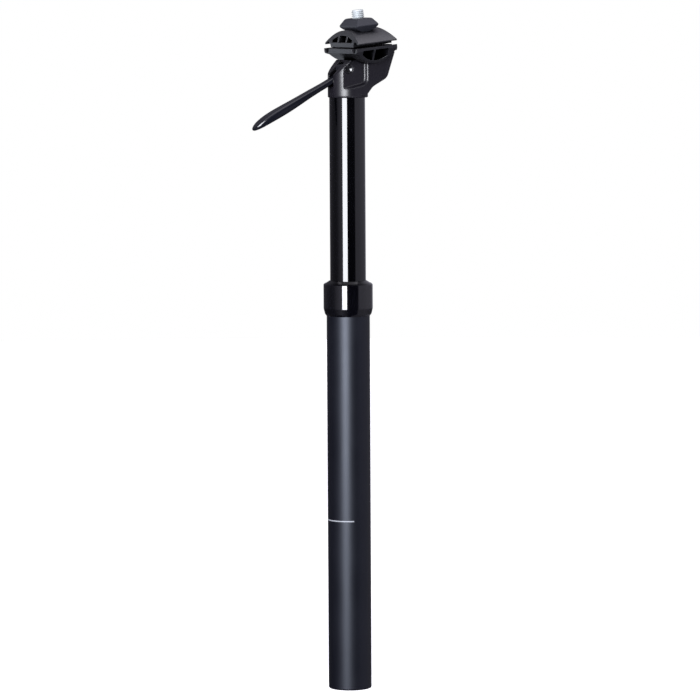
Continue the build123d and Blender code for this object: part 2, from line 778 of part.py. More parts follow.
# Lever: hub, nose and a long blade that swells into a paddle and rounds off at its tip
adjuster_x = PIVOT_X + ADJUSTER_ARM
blade_points = [
    (PIVOT_X - along_share * LEVER_REACH, 0, pivot_z - drop_share * LEVER_DROP)
    for along_share, drop_share, thick_share, width_share in BLADE_SHARES
]
with BuildPart() as lever:
    for index, (along_share, drop_share, thick_share, width_share) in enumerate(BLADE_SHARES):
        before = blade_points[max(index - 1, 0)]
        after = blade_points[min(index + 1, len(blade_points) - 1)]
        heading = (after[0] - before[0], 0, after[2] - before[2])
        thickness = thick_share * LEVER_T
        section_plane = Plane(origin=blade_points[index], x_dir=(0, 1, 0), z_dir=heading)
        with BuildSketch(section_plane):
            RectangleRounded(width_share * LEVER_PADDLE_W, thickness, LEVER_EDGE_SHARE * thickness)
    loft()
    with BuildSketch(Plane.XZ):
        with Locations((PIVOT_X, pivot_z)):
            Circle(LEVER_HUB_D / 2)
        with BuildLine():
            Polyline(
                (PIVOT_X, pivot_z + LEVER_NOSE_TOP),
                (PIVOT_X + LEVER_NOSE_X, pivot_z + LEVER_NOSE_TOP),
                (PIVOT_X + LEVER_NOSE_X, pivot_z - LEVER_HUB_D / 2),
                (PIVOT_X, pivot_z - LEVER_HUB_D / 2),
                close=True,
            )
        make_face()
    extrude(amount=LEVER_HUB_W / 2, both=True)
    with BuildSketch(Plane.XZ):
        with Locations((PIVOT_X, pivot_z)):
            Circle(PIVOT_D / 2 + RUNNING)
    extrude(amount=LEVER_HUB_W, both=True, mode=Mode.SUBTRACT)
    with BuildSketch(Plane.XY.offset(pivot_z)):
        with Locations((adjuster_x, 0)):
            Circle(ADJUSTER_D / 2 + SEATED)
    extrude(amount=LEVER_HUB_D, both=True, mode=Mode.SUBTRACT)

# Adjuster: a small domed screw through the lever's nose, with its locknut
adjuster_r = ADJUSTER_D / 2
with BuildPart() as adjuster_screw:
    with BuildSketch(Plane.XZ):
        with BuildLine():
            dome_z = pivot_z - ADJUSTER_TIP + adjuster_r
            Line((adjuster_x, dome_z - adjuster_r), (adjuster_x, pivot_z + ADJUSTER_TOP))
            Polyline(
                (adjuster_x, pivot_z + ADJUSTER_TOP),
                (adjuster_x + adjuster_r, pivot_z + ADJUSTER_TOP),
                (adjuster_x + adjuster_r, dome_z),
            )
            CenterArc((adjuster_x, dome_z), adjuster_r, -90, 90)
        make_face()
    revolve(axis=Axis((adjuster_x, 0, 0), (0, 0, 1)))
with BuildPart() as adjuster_locknut:
    with BuildSketch(Plane.XY.offset(pivot_z - LEVER_HUB_D / 2 - LOCKNUT_H)):
        with Locations((adjuster_x, 0)):
            RegularPolygon(LOCKNUT_AF / 2, 6, major_radius=False)
            Circle(adjuster_r + SEATED, mode=Mode.SUBTRACT)
    extrude(amount=LOCKNUT_H)

# Lower clamp: a plate with rail grooves on a round belly that rocks in the cradle
rail_y = RAIL_SPACING / 2
rail_r = RAIL_D / 2 + SEATED
lower_half = rail_y + RAIL_D / 2 + RAIL_LIP
belly_half = lower_half - BELLY_INSET
pocket_in = belly_half - BELLY_POCKET_DEPTH
belly_front_x = sqrt(CRADLE_R**2 - BELLY_FRONT**2)
belly_back_x = sqrt(CRADLE_R**2 - BELLY_BACK**2)
with BuildPart() as lower_clamp:
    with BuildSketch(clamp_side):
        with BuildLine():
            Polyline(
                (-belly_front_x, -BELLY_FRONT),
                (-LOWER_FRONT, -LOWER_TOP - LOWER_FRONT_LIP),
                (-LOWER_FRONT, -LOWER_TOP),
                (LOWER_BACK, -LOWER_TOP),
                (LOWER_BACK, -LOWER_TOP - LOWER_BACK_LIP),
                (belly_back_x, -BELLY_BACK),
            )
            ThreePointArc(
                (-belly_front_x, -BELLY_FRONT), (0, -CRADLE_R), (belly_back_x, -BELLY_BACK)
            )
        make_face()
    extrude(amount=lower_half, both=True)
    # Deep side pockets round the bolt's boss, with a rib each and a wall under each rail
    for side in (-1, 1):
        with BuildSketch(clamp_side.offset(side * pocket_in)):
            Circle(CRADLE_R - BELLY_POCKET_WALL)
            with Locations((-BELLY_POCKET_SHIFT, -CRADLE_R - BELLY_POCKET_TOP)):
                Rectangle(2 * BELLY_POCKET_X, 2 * CRADLE_R, mode=Mode.INTERSECT)
        extrude(amount=side * lower_half, mode=Mode.SUBTRACT)
        with BuildSketch(clamp_side.offset(side * pocket_in)):
            Circle(CRADLE_R - RUNNING)
            with Locations((-BELLY_RIB_X, -BELLY_POCKET_TOP - CRADLE_R / 2)):
                Rectangle(BELLY_RIB, CRADLE_R, mode=Mode.INTERSECT)
        extrude(amount=side * lower_half)
        with BuildSketch(clamp_front):
            with Locations((side * rail_y, -RAIL_DROP)):
                Circle(rail_r + RAIL_WALL)
        extrude(amount=BELLY_POCKET_X + BELLY_POCKET_SHIFT, both=True)
    # Ends that slope in towards the round of the belly
    with BuildSketch(clamp_front):
        with BuildLine():
            half = [
                (lower_half, -LOWER_TOP),
                (lower_half, -LOWER_TOP - LOWER_EDGE_H),
                (belly_half, -CRADLE_R),
            ]
            Polyline(*half, *[(-y, z) for y, z in reversed(half)], close=True)
        make_face()
    extrude(amount=LOWER_FRONT, both=True, mode=Mode.INTERSECT)
    with BuildSketch(clamp_front):
        with Locations((-rail_y, -RAIL_DROP), (rail_y, -RAIL_DROP)):
            Circle(rail_r)
    extrude(amount=LOWER_FRONT + OVERRUN, both=True, mode=Mode.SUBTRACT)
    with BuildSketch(clamp_top):
        Circle(hole_r)
    extrude(amount=CRADLE_R + OVERRUN, both=True, mode=Mode.SUBTRACT)

# Upper clamp: an arch across the rails with raked ends, windows and a trough for the nut
arch_half = lower_half + ARCH_OVERHANG
arch_rise = ARCH_RIDGE + ARCH_TIP
arch_r = (arch_half**2 + arch_rise**2) / (2 * arch_rise)
arch_mid = ARCH_RIDGE - arch_r
upper_top = UPPER_HALF - UPPER_RAKE
with BuildPart() as upper_clamp:
    with BuildSketch(clamp_front):
        with BuildLine():
            ThreePointArc((-arch_half, -ARCH_TIP), (0, ARCH_RIDGE), (arch_half, -ARCH_TIP))
            foot = [
                (arch_half, -ARCH_TIP),
                (arch_half, -ARCH_TIP - ARCH_TIP_T),
                (rail_y - ARCH_FOOT_IN, -ARCH_TIP - ARCH_TIP_T),
                (rail_y - ARCH_ROOT_IN, -UPPER_BOTTOM),
            ]
            Polyline(*foot, *[(-y, z) for y, z in reversed(foot)])
        make_face()
    extrude(amount=UPPER_HALF, both=True)
    with BuildSketch(clamp_side):
        with BuildLine():
            end = [
                (UPPER_HALF, -UPPER_BOTTOM - OVERRUN),
                (UPPER_HALF, -UPPER_RAKE_START),
                (upper_top, ARCH_RIDGE),
                (upper_top, ARCH_RIDGE + OVERRUN),
            ]
            Polyline(*end, *[(-x, z) for x, z in reversed(end)], close=True)
        make_face()
    extrude(amount=arch_half, both=True, mode=Mode.INTERSECT)
    with BuildSketch(clamp_front):
        with Locations((-rail_y, -RAIL_DROP), (rail_y, -RAIL_DROP)):
            Circle(rail_r)
    extrude(amount=UPPER_HALF + OVERRUN, both=True, mode=Mode.SUBTRACT)
    side_window = (WINDOW_MIDDLE + WINDOW_SIDE) / 2 + WINDOW_RIB
    for end_x in (-1, 1):
        with BuildSketch(clamp_front.offset(end_x * (UPPER_HALF - WINDOW_DEPTH))):
            with Locations((0, -WINDOW_FLOOR + ARCH_RIDGE / 2)):
                Rectangle(WINDOW_MIDDLE, ARCH_RIDGE)
            with Locations(
                (-side_window, -WINDOW_FLOOR + ARCH_RIDGE / 2),
                (side_window, -WINDOW_FLOOR + ARCH_RIDGE / 2),
            ):
                Rectangle(WINDOW_SIDE, ARCH_RIDGE)
            with Locations((0, arch_mid)):
                Circle(arch_r - WINDOW_WALL, mode=Mode.INTERSECT)
        extrude(amount=end_x * WINDOW_DEPTH, mode=Mode.SUBTRACT)
    with BuildSketch(clamp_side):
        with Locations((0, NUT_SEAT + NUT_BELLY_R)):
            Circle(NUT_BELLY_R + RUNNING)
    extrude(amount=arch_half, both=True, mode=Mode.SUBTRACT)
    with BuildSketch(clamp_top):
        Circle(hole_r)
    extrude(amount=CRADLE_R, both=True, mode=Mode.SUBTRACT)

# Barrel nut: a canoe-shaped bar with a round belly and chisel ends
nut_half = NUT_WIDTH / 2
nut_mid = NUT_SEAT + NUT_BELLY_R
nut_side_z = nut_mid - sqrt(NUT_BELLY_R**2 - nut_half**2)
nut_top = NUT_SEAT + NUT_H
with BuildPart() as barrel_nut:
    with BuildSketch(clamp_side) as nut_section:
        with BuildLine():
            ThreePointArc((-nut_half, nut_side_z), (0, NUT_SEAT), (nut_half, nut_side_z))
            Polyline(
                (nut_half, nut_side_z),
                (nut_half, nut_side_z + NUT_CHEEK_H),
                (NUT_TOP_W / 2, nut_top),
                (-NUT_TOP_W / 2, nut_top),
                (-nut_half, nut_side_z + NUT_CHEEK_H),
                (-nut_half, nut_side_z),
            )
        make_face()
        for corner_y in (-1, 1):
            shoulder = nut_section.vertices().sort_by_distance((corner_y * NUT_TOP_W / 2, nut_top))[0]
            fillet(shoulder, radius=NUT_ROUND)
            cheek = nut_section.vertices().sort_by_distance(
                (corner_y * nut_half, nut_side_z + NUT_CHEEK_H)
            )[0]
            fillet(cheek, radius=NUT_CHEEK_ROUND)
    extrude(amount=NUT_LENGTH / 2, both=True)
    with BuildSketch(clamp_front):
        with BuildLine():
            nut_ridge = nut_side_z + NUT_CHEEK_H / 2
            end = [
                (NUT_LENGTH / 2 - NUT_CHISEL, NUT_SEAT),
                (NUT_LENGTH / 2, nut_ridge),
                (NUT_LENGTH / 2 - NUT_CHISEL, nut_top),
            ]
            Polyline(*end, *[(-y, z) for y, z in reversed(end)], close=True)
        make_face()
    extrude(amount=NUT_WIDTH, both=True, mode=Mode.INTERSECT)
    with BuildSketch(clamp_top):
        Circle(bolt_r + RUNNING)
    extrude(amount=nut_top + OVERRUN, mode=Mode.SUBTRACT)

# Half-round washer against the round underside of the cradle's web
washer_face = seat_r + WASHER_T
with BuildPart() as half_round_washer:
    with BuildSketch(clamp_side):
        with Locations((0, WASHER_T - washer_face)):
            Rectangle(2 * WASHER_HALF, 2 * WASHER_T)
        Circle(seat_r + RUNNING, mode=Mode.SUBTRACT)
    extrude(amount=WASHER_W / 2, both=True)
    with BuildSketch(clamp_top.offset(-washer_face)):
        Circle(hole_r)
    extrude(amount=washer_face, mode=Mode.SUBTRACT)

# Clamp bolt: an M8 screw from the channel up through both clamps and the nut
with BuildPart() as clamp_bolt:
    bolt_low = -washer_face - BOLT_HEAD_H
    with BuildSketch(clamp_side):
        with BuildLine():
            Polyline(
                (0, bolt_low),
                (BOLT_HEAD_D / 2 - BOLT_HEAD_EDGE, bolt_low),
                (BOLT_HEAD_D / 2, bolt_low + BOLT_HEAD_EDGE),
                (BOLT_HEAD_D / 2, -washer_face),
                (bolt_r, -washer_face),
                (bolt_r, BOLT_TIP - BOLT_TIP_CHAMFER),
                (bolt_r - BOLT_TIP_CHAMFER, BOLT_TIP),
                (0, BOLT_TIP),
                close=True,
            )
        make_face()
    revolve(axis=Axis(cradle_centre, upward))
    with BuildSketch(clamp_top.offset(bolt_low)):
        RegularPolygon(BOLT_HEX_AF / 2, 6, major_radius=False)
    extrude(amount=BOLT_HEX_DEPTH, mode=Mode.SUBTRACT)

pieces = {
    "outer_tube": outer_tube,
    "upper_bushing": upper_bushing,
    "seal_collar": seal_collar,
    "foam_ring": foam_ring,
    "wiper_seal": wiper_seal,
    "stanchion": stanchion,
    "lower_bushing": lower_bushing,
    "anti_rotation_keys": anti_rotation_keys,
    "cartridge_circlip": cartridge_circlip,
    "base_circlip": base_circlip,
    "base_plug": base_plug,
    "rod_washer": rod_washer,
    "rod_nut": rod_nut,
    "gas_cylinder": gas_cylinder,
    "oil_tube": oil_tube,
    "rod_guide": rod_guide,
    "rod_seal": rod_seal,
    "topout_bumper": topout_bumper,
    "piston_rod": piston_rod,
    "piston": piston,
    "piston_ring": piston_ring,
    "floating_piston": floating_piston,
    "floating_piston_rings": floating_piston_rings,
    "valve_block": valve_block,
    "valve_pin_seal": valve_pin_seal,
    "valve_pin": valve_pin,
    "centring_ring": centring_ring,
    "seat_head": seat_head,
    "lever_pivot_screw": lever_pivot_screw,
    "lever": lever,
    "adjuster_screw": adjuster_screw,
    "adjuster_locknut": adjuster_locknut,
    "lower_clamp": lower_clamp,
    "upper_clamp": upper_clamp,
    "barrel_nut": barrel_nut,
    "half_round_washer": half_round_washer,
    "clamp_bolt": clamp_bolt,
}

for name, piece in pieces.items():
    piece.part.label = name
    export_step(piece.part, "parts/" + name + ".step")
    print(name, len(piece.part.solids()), "solids, volume %.1f" % piece.part.volume)
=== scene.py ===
# %% [markdown]
# # A dropper seatpost, dressed and lit
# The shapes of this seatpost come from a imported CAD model: a wide lower tube, a collar with
# its wiper seal, a glossy upper post, a forged head with a lever, and a two-rail saddle
# clamp. This script loads that model, keeps every shape where it is and gives each piece
# the finish of the real one. Two screws are turned again here, with a thread and a dished
# head that are too fine for the CAD model. Lengths are in metres, +Z is up along the post
# and -X is the front.

# %% Load the frame
from math import atan2, cos, pi, radians, sin

import bmesh
import bpy
from mathutils import Matrix, Vector


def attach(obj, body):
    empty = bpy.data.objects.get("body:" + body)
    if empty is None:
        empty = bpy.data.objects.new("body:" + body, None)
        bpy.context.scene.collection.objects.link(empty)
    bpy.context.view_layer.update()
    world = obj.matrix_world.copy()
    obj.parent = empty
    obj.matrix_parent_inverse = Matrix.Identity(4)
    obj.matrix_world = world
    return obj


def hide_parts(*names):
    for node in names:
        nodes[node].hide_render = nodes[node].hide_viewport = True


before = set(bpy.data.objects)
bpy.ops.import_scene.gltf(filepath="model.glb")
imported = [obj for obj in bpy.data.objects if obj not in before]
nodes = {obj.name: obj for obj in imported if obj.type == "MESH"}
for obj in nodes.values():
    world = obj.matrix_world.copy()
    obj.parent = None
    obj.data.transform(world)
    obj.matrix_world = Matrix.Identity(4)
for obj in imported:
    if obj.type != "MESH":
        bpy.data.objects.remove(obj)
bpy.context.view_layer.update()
MM = 0.001

# %% [markdown]
# ## Camera
# The photograph was taken with a long lens, from the post's left front and a little above.
# A long lens far away keeps the tube's edges almost parallel, which a short lens up close
# can't do, so the distance and the focal length are set together. The camera is tipped a
# third of a degree about its own axis, because the post leans that much in the picture.

# %% Camera
CAMERA_AZIMUTH = radians(-22.6)
CAMERA_ELEVATION = radians(5.10)
CAMERA_DISTANCE = 2.615
CAMERA_LENS = 213.4
CAMERA_SENSOR = 36
CAMERA_SEES_TO = 100
CAMERA_ROLL = radians(-0.306)
TARGET_HEIGHT = -21.75 * MM
TARGET_SHIFT = 0.98 * MM

view_right = Vector((cos(CAMERA_AZIMUTH), sin(CAMERA_AZIMUTH), 0))
view_back = Vector((
    sin(CAMERA_AZIMUTH) * cos(CAMERA_ELEVATION),
    -cos(CAMERA_AZIMUTH) * cos(CAMERA_ELEVATION),
    sin(CAMERA_ELEVATION),
))
target = Vector((0, 0, TARGET_HEIGHT)) + view_right * TARGET_SHIFT
camera_data = bpy.data.cameras.new("camera")
camera_data.lens = CAMERA_LENS
camera_data.sensor_width = CAMERA_SENSOR
camera_data.clip_end = CAMERA_SEES_TO
camera = bpy.data.objects.new("camera", camera_data)
bpy.context.scene.collection.objects.link(camera)
facing = view_back.to_track_quat("Z", "Y").to_matrix().to_4x4()
camera.matrix_world = (
    Matrix.Translation(target + view_back * CAMERA_DISTANCE)
    @ facing
    @ Matrix.Rotation(CAMERA_ROLL, 4, "Z")
)
bpy.context.scene.camera = camera
print("camera at", tuple(round(v, 3) for v in camera.matrix_world.translation))

# %% [markdown]
# ## Floor
# The post is photographed without anything under it, on white. A very wide pale disc well
# below it stands for the studio floor. It is matt, it glows a little so that it stays as
# white as the backdrop, and it is hidden from mirror reflections, which keeps the black
# parts black.

# %% Floor
FLOOR_HEIGHT = -0.62
FLOOR_RADIUS = 7.0
FLOOR_SIDES = 96
FLOOR_COLOUR = (0.86, 0.86, 0.86, 1)
FLOOR_GLOW = 0.4
WHITE = (1, 1, 1, 1)


def new_material(name):
    """A material with nothing but a shader and its output, and that shader."""
    material = bpy.data.materials.new(name)
    material.use_nodes = True
    tree = material.node_tree
    tree.nodes.clear()
    output = tree.nodes.new("ShaderNodeOutputMaterial")
    shader = tree.nodes.new("ShaderNodeBsdfPrincipled")
    tree.links.new(shader.outputs["BSDF"], output.inputs["Surface"])
    return material, shader


floor_material, floor_shader = new_material("floor_paint")
floor_shader.inputs["Base Color"].default_value = FLOOR_COLOUR
floor_shader.inputs["Roughness"].default_value = 1.0
floor_shader.inputs["Specular IOR Level"].default_value = 0.0
floor_shader.inputs["Emission Color"].default_value = WHITE
floor_shader.inputs["Emission Strength"].default_value = FLOOR_GLOW
floor_mesh = bpy.data.meshes.new("floor")
shape = bmesh.new()
bmesh.ops.create_circle(shape, cap_ends=True, segments=FLOOR_SIDES, radius=FLOOR_RADIUS)
bmesh.ops.translate(shape, verts=shape.verts, vec=(0, 0, FLOOR_HEIGHT))
shape.to_mesh(floor_mesh)
shape.free()
floor = bpy.data.objects.new("floor", floor_mesh)
floor_mesh.materials.append(floor_material)
bpy.context.scene.collection.objects.link(floor)
floor.visible_glossy = False
print("floor", 2 * FLOOR_RADIUS, "across, at height", FLOOR_HEIGHT)

# %% [markdown]
# ## Soft boxes
# Gloss black is only as good as what it mirrors. One tall soft box stands beside the camera
# and draws the white stripe down the post. Area lights are made for this: they have a size,
# so their mirror image has sharp edges. In a studio each part of a product is often lit by
# itself, and light linking does that here. A list of nodes tells a lamp what it lights, or
# what it leaves out.

# %% Lamp helpers
SOFT_WHITE = (0.93, 0.95, 1.0)


def linked_nodes(name, state, names):
    """A list of CAD nodes that a lamp lights alone (INCLUDE) or leaves out (EXCLUDE)."""
    group = bpy.data.collections.new(name)
    for node_name in names:
        group.objects.link(nodes[node_name])
    for member in group.collection_objects:
        member.light_linking.link_state = state
    return group


def soft_box(name, azimuth, distance, low, high, width, power, colour=SOFT_WHITE):
    """An upright area light that faces the post from a compass angle and a distance."""
    data = bpy.data.lights.new(name, "AREA")
    data.shape = "RECTANGLE"
    data.size = width
    data.size_y = high - low
    data.energy = power
    data.color = colour
    lamp = bpy.data.objects.new(name, data)
    bpy.context.scene.collection.objects.link(lamp)
    angle = radians(azimuth)
    outward = Vector((sin(angle), -cos(angle), 0))
    lamp.matrix_world = (
        Matrix.Translation(outward * distance + Vector((0, 0, (low + high) / 2)))
        @ outward.to_track_quat("Z", "Y").to_matrix().to_4x4()
    )
    print(name, "at", azimuth, "degrees,", width, "by", round(high - low, 2))
    return lamp


print("soft boxes have the colour", SOFT_WHITE, "unless they are given another")

# %% [markdown]
# ## Key lights
# The main soft box lights everything but the collar, the head and the lever. These three
# have boxes of their own in nearly the same place. The collar is wider than the post, so
# its box is narrower and gives a stripe as thin. The head's box ends lower, which keeps its
# brow dark, and the lever's is taller, wider and stronger, for the glint on its tip.

# %% Key lights
COLLAR_PIECES = ("seal_collar", "wiper_seal")
KEY_AZIMUTH = -39.4
KEY_DISTANCE = 1.5
KEY_FOOT = -0.16
key_strip = soft_box("key_strip", KEY_AZIMUTH, KEY_DISTANCE, KEY_FOOT, 1.05, 0.80, 75)
key_strip.light_linking.receiver_collection = linked_nodes(
    "off_key_strip", "EXCLUDE", (*COLLAR_PIECES, "seat_head", "lever"))
# Name, the nodes it lights, compass angle, top, width and power
for name, pieces, azimuth, top, width, power in (
    ("collar_strip", COLLAR_PIECES, -39.2, 1.05, 0.58, 55),
    ("head_strip", ("seat_head",), KEY_AZIMUTH, 0.50, 0.80, 48),
    ("lever_strip", ("lever",), KEY_AZIMUTH, 1.30, 0.90, 260),
):
    strip = soft_box(name, azimuth, KEY_DISTANCE, KEY_FOOT, top, width, power)
    strip.light_linking.receiver_collection = linked_nodes("on_" + name, "INCLUDE", pieces)

# %% [markdown]
# ## Cards and ceiling
# A photographer props up small reflectors for faces that would go black. Two face the
# head's side pocket, from high up and from below, and three behind the post give the clamp
# something to mirror. They would show as bright edges on the tubes, so they don't light
# those. The ceiling is a very broad sun, which again leaves the shiny collar alone.

# %% Cards and ceiling
CLAMP_PIECES = ("lower_clamp", "upper_clamp", "barrel_nut")
CARD_BLUE = (0.83, 0.90, 1.0)
CEILING_POWER = 2.7
CEILING_SPREAD = radians(70)
CEILING_COLOUR = (0.93, 0.91, 1.0)
# Name, the nodes it lights, compass angle, distance, foot, top, width, power and colour
for name, pieces, *settings in (
    ("top_card", ("seat_head",), 23, 1.2, 0.85, 1.85, 0.7, 7.0, SOFT_WHITE),
    ("foot_card", ("seat_head",), 8, 1.0, -1.0, -0.5, 0.7, 3.0, SOFT_WHITE),
    ("high_card", CLAMP_PIECES, -150, 1.3, 0.36, 1.15, 1.1, 1.0, SOFT_WHITE),
    ("front_card", CLAMP_PIECES, -158, 1.0, -0.14, 0.24, 0.6, 0.68, CARD_BLUE),
    ("low_card", CLAMP_PIECES, 176, 1.0, -0.55, -0.10, 0.5, 0.36, CARD_BLUE),
):
    card = soft_box(name, *settings)
    card.light_linking.receiver_collection = linked_nodes("on_" + name, "INCLUDE", pieces)
ceiling_data = bpy.data.lights.new("ceiling", "SUN")
ceiling_data.energy = CEILING_POWER
ceiling_data.color = CEILING_COLOUR
ceiling_data.angle = CEILING_SPREAD
ceiling = bpy.data.objects.new("ceiling", ceiling_data)
bpy.context.scene.collection.objects.link(ceiling)
ceiling.light_linking.receiver_collection = linked_nodes(
    "off_ceiling", "EXCLUDE", COLLAR_PIECES)
print("lamps", len(bpy.data.lights))

# %% [markdown]
# ## Room
# Between the soft boxes, polished metal mirrors the room itself, and each bright or dark
# stretch of wall becomes a stripe along the post. A panorama picture is the usual way to
# give Blender a room. Here it is two short tables: how bright the wall is at each compass
# angle, and how much dimmer it gets below and overhead. A stripe can then be moved by
# changing one number.

# %% Room tables
# Compass angle from the post's near side, in degrees, and how bright the wall is there
WALLS = (
    (-180, 0.2), (-165, 0.15), (-150, 0.17), (-108, 0.14), (-92, 0.22), (-76, 0.55),
    (-60, 0.9), (-30, 0.3), (-18, 0.02), (24, 0.03), (30, 0.8), (75, 0.78), (110, 0.42),
    (140, 0.5), (153, 0.6), (162, 0.16), (180, 0.14),
)
# How far a look goes down or up, as the Z of its direction, and the share of light there
HEIGHTS = (
    (-1.0, 0.25), (-0.6, 0.4), (-0.4, 0.42), (-0.2, 0.2), (-0.15, 0.3), (-0.1, 0.6),
    (-0.04, 0.95), (0.6, 1.0), (0.85, 0.3), (1.0, 0.1),
)
print("wall stops", len(WALLS), "height stops", len(HEIGHTS))

# %% [markdown]
# ## Brightness by direction
# For the world, a Texture Coordinate node gives the direction that a ray looks in. An arc
# tangent turns two parts of it into a compass angle, and the third says how far it looks up.
# Each goes through a Color Ramp, which holds a whole table in one node.

# %% Brightness by direction
FULL_TURN = 360
world = bpy.data.worlds.new("room")
bpy.context.scene.world = world
world.use_nodes = True
room = world.node_tree
room.nodes.clear()


def calculate(tree, operation, *values):
    """A Math node in this tree; each value is a number or a socket."""
    node = tree.nodes.new("ShaderNodeMath")
    node.operation = operation
    for socket, value in zip(node.inputs, values):
        if isinstance(value, (int, float)):
            socket.default_value = value
        else:
            tree.links.new(value, socket)
    return node.outputs[0]


def brightness(place, pairs):
    """A colour ramp with grey stops, given as places from 0 to 1 and brightnesses."""
    ramp = room.nodes.new("ShaderNodeValToRGB")
    room.links.new(place, ramp.inputs["Fac"])
    stops = ramp.color_ramp.elements
    while len(stops) < len(pairs):
        stops.new(1.0)
    for stop, (position, light) in zip(stops, pairs):
        stop.position = position
        stop.color = (light, light, light, 1)
    return ramp.outputs["Color"]


look = room.nodes.new("ShaderNodeSeparateXYZ")
room.links.new(room.nodes.new("ShaderNodeTexCoord").outputs["Generated"], look.inputs[0])
behind = calculate(room, "MULTIPLY", look.outputs["Y"], -1)
compass = calculate(room, "ARCTAN2", look.outputs["X"], behind)
turn = calculate(room, "MULTIPLY_ADD", compass, 1 / (2 * pi), 0.5)
walls = brightness(turn, [(angle / FULL_TURN + 0.5, light) for angle, light in WALLS])
upward = calculate(room, "MULTIPLY_ADD", look.outputs["Z"], 0.5, 0.5)
rise = brightness(upward, [(z / 2 + 0.5, light) for z, light in HEIGHTS])
print("room nodes for the brightness", len(room.nodes))

# %% [markdown]
# ## Backdrop
# The mirrors see this dim room, while the camera sees plain white behind the post. A studio
# does that with cards that stand just outside the picture. Here a Light Path node tells
# whether a ray comes straight from the camera, and the Standard view keeps white white.

# %% Room and backdrop
ROOM_TINT = (0.86, 0.84, 1, 1)
wall_light = room.nodes.new("ShaderNodeBackground")
wall_light.inputs["Color"].default_value = ROOM_TINT
room.links.new(calculate(room, "MULTIPLY", walls, rise), wall_light.inputs["Strength"])
backdrop = room.nodes.new("ShaderNodeBackground")
backdrop.inputs["Color"].default_value = WHITE
backdrop.inputs["Strength"].default_value = 1.0
path = room.nodes.new("ShaderNodeLightPath")
choice = room.nodes.new("ShaderNodeMixShader")
room_output = room.nodes.new("ShaderNodeOutputWorld")
room.links.new(path.outputs["Is Camera Ray"], choice.inputs["Fac"])
room.links.new(wall_light.outputs["Background"], choice.inputs[1])
room.links.new(backdrop.outputs["Background"], choice.inputs[2])
room.links.new(choice.outputs["Shader"], room_output.inputs["Surface"])
bpy.context.scene.view_settings.view_transform = "Standard"
print("room nodes", len(room.nodes))

# %% [markdown]
# ## Nodes that every finish shares
# Every finish here starts from the same few nodes: a large, cloudy noise that shifts the
# colour and the gloss a little, as uneven coating and handling do, and a very fine one that
# gives the grain, as a bump. Object coordinates are used, so nothing depends on unwrapping,
# and each pattern keeps its real size.

# %% Noise
NOISE_ROUGHNESS = 0.55


def add(tree, kind, **values):
    """A node of this kind, with its input values set by name."""
    node = tree.nodes.new(kind)
    for name, value in values.items():
        node.inputs[name].default_value = value
    return node


def noise(tree, place, scale, detail=4.0, stretch=(1, 1, 1)):
    """Noise on Object coordinates; stretch squeezes it along an axis for turned metal."""
    mapping = add(tree, "ShaderNodeMapping", Scale=stretch)
    tree.links.new(place, mapping.inputs["Vector"])
    texture = add(
        tree, "ShaderNodeTexNoise", Scale=scale, Detail=detail, Roughness=NOISE_ROUGHNESS)
    tree.links.new(mapping.outputs["Vector"], texture.inputs["Vector"])
    return texture.outputs["Fac"]


print("noise roughness", NOISE_ROUGHNESS)

# %% [markdown]
# ## Ranges and mixes
# Noise rarely gets near 0 or 1: most of it lies round the middle. A Map Range node spreads
# that middle part over the range that is wanted, such as the least and the most gloss. A
# Mix node then goes from one colour to a second one by it.

# %% Ranges and mixes
NOISE_LOW, NOISE_HIGH = 0.35, 0.65


def remap(tree, value, low, high, start=NOISE_LOW, end=NOISE_HIGH):
    """A value brought from the range start..end to low..high."""
    node = tree.nodes.new("ShaderNodeMapRange")
    node.inputs["From Min"].default_value = start
    node.inputs["From Max"].default_value = end
    node.inputs["To Min"].default_value = low
    node.inputs["To Max"].default_value = high
    tree.links.new(value, node.inputs["Value"])
    return node.outputs["Result"]


def mix_colour(tree, amount, first, second):
    """Two colours mixed by a value; each is a colour or a socket."""
    node = tree.nodes.new("ShaderNodeMix")
    node.data_type = "RGBA"
    tree.links.new(amount, node.inputs["Factor"])
    # A Mix node has sockets for every kind of value: its colours go in at 6 and 7, out at 2
    for socket, value in ((node.inputs[6], first), (node.inputs[7], second)):
        if isinstance(value, tuple):
            socket.default_value = (*value, 1)
        else:
            tree.links.new(value, socket)
    return node.outputs[2]


print("noise is used from", NOISE_LOW, "to", NOISE_HIGH)

# %% [markdown]
# ## Edges and recesses
# No real edge is sharp: coating builds up on it and hands rub it. A Bevel node rounds the
# edges in the shading alone, which is what catches the light along a forged part. Where the
# rounded and the true direction differ, the point is near an edge, and there the colour is
# lightened in patches: partly wear, and partly a painted highlight along the edge.
# Deep windows and slots hardly get any light, and shade is painted into them: an Ambient
# Occlusion node finds them by looking how soon a ray meets a wall, and darkens them to black.

# %% Edges and recesses
EDGE_BAND = 0.3 * MM
EDGE_PATCH_SCALE = 240.0
# How far the rounded and the true direction agree, from an edge lightened by wear and painted
# highlight to a sound face
EDGE_FROM, EDGE_TO = 0.6, 0.97
# The noise between which a patch of the lighter edge starts and is at full strength
PATCH_FROM, PATCH_TO = 0.42, 0.6
# How open a point is, from the depth of a recess, where shade is painted in full, to its rim
SHADE_FROM, SHADE_TO = 0.28, 0.66
SHADE_SAMPLES = 8


def soft_edges(tree, radius):
    """The surface direction with every edge rounded by this radius."""
    rounded = add(tree, "ShaderNodeBevel", Radius=radius)
    rounded.samples = SHADE_SAMPLES
    return rounded.outputs["Normal"]


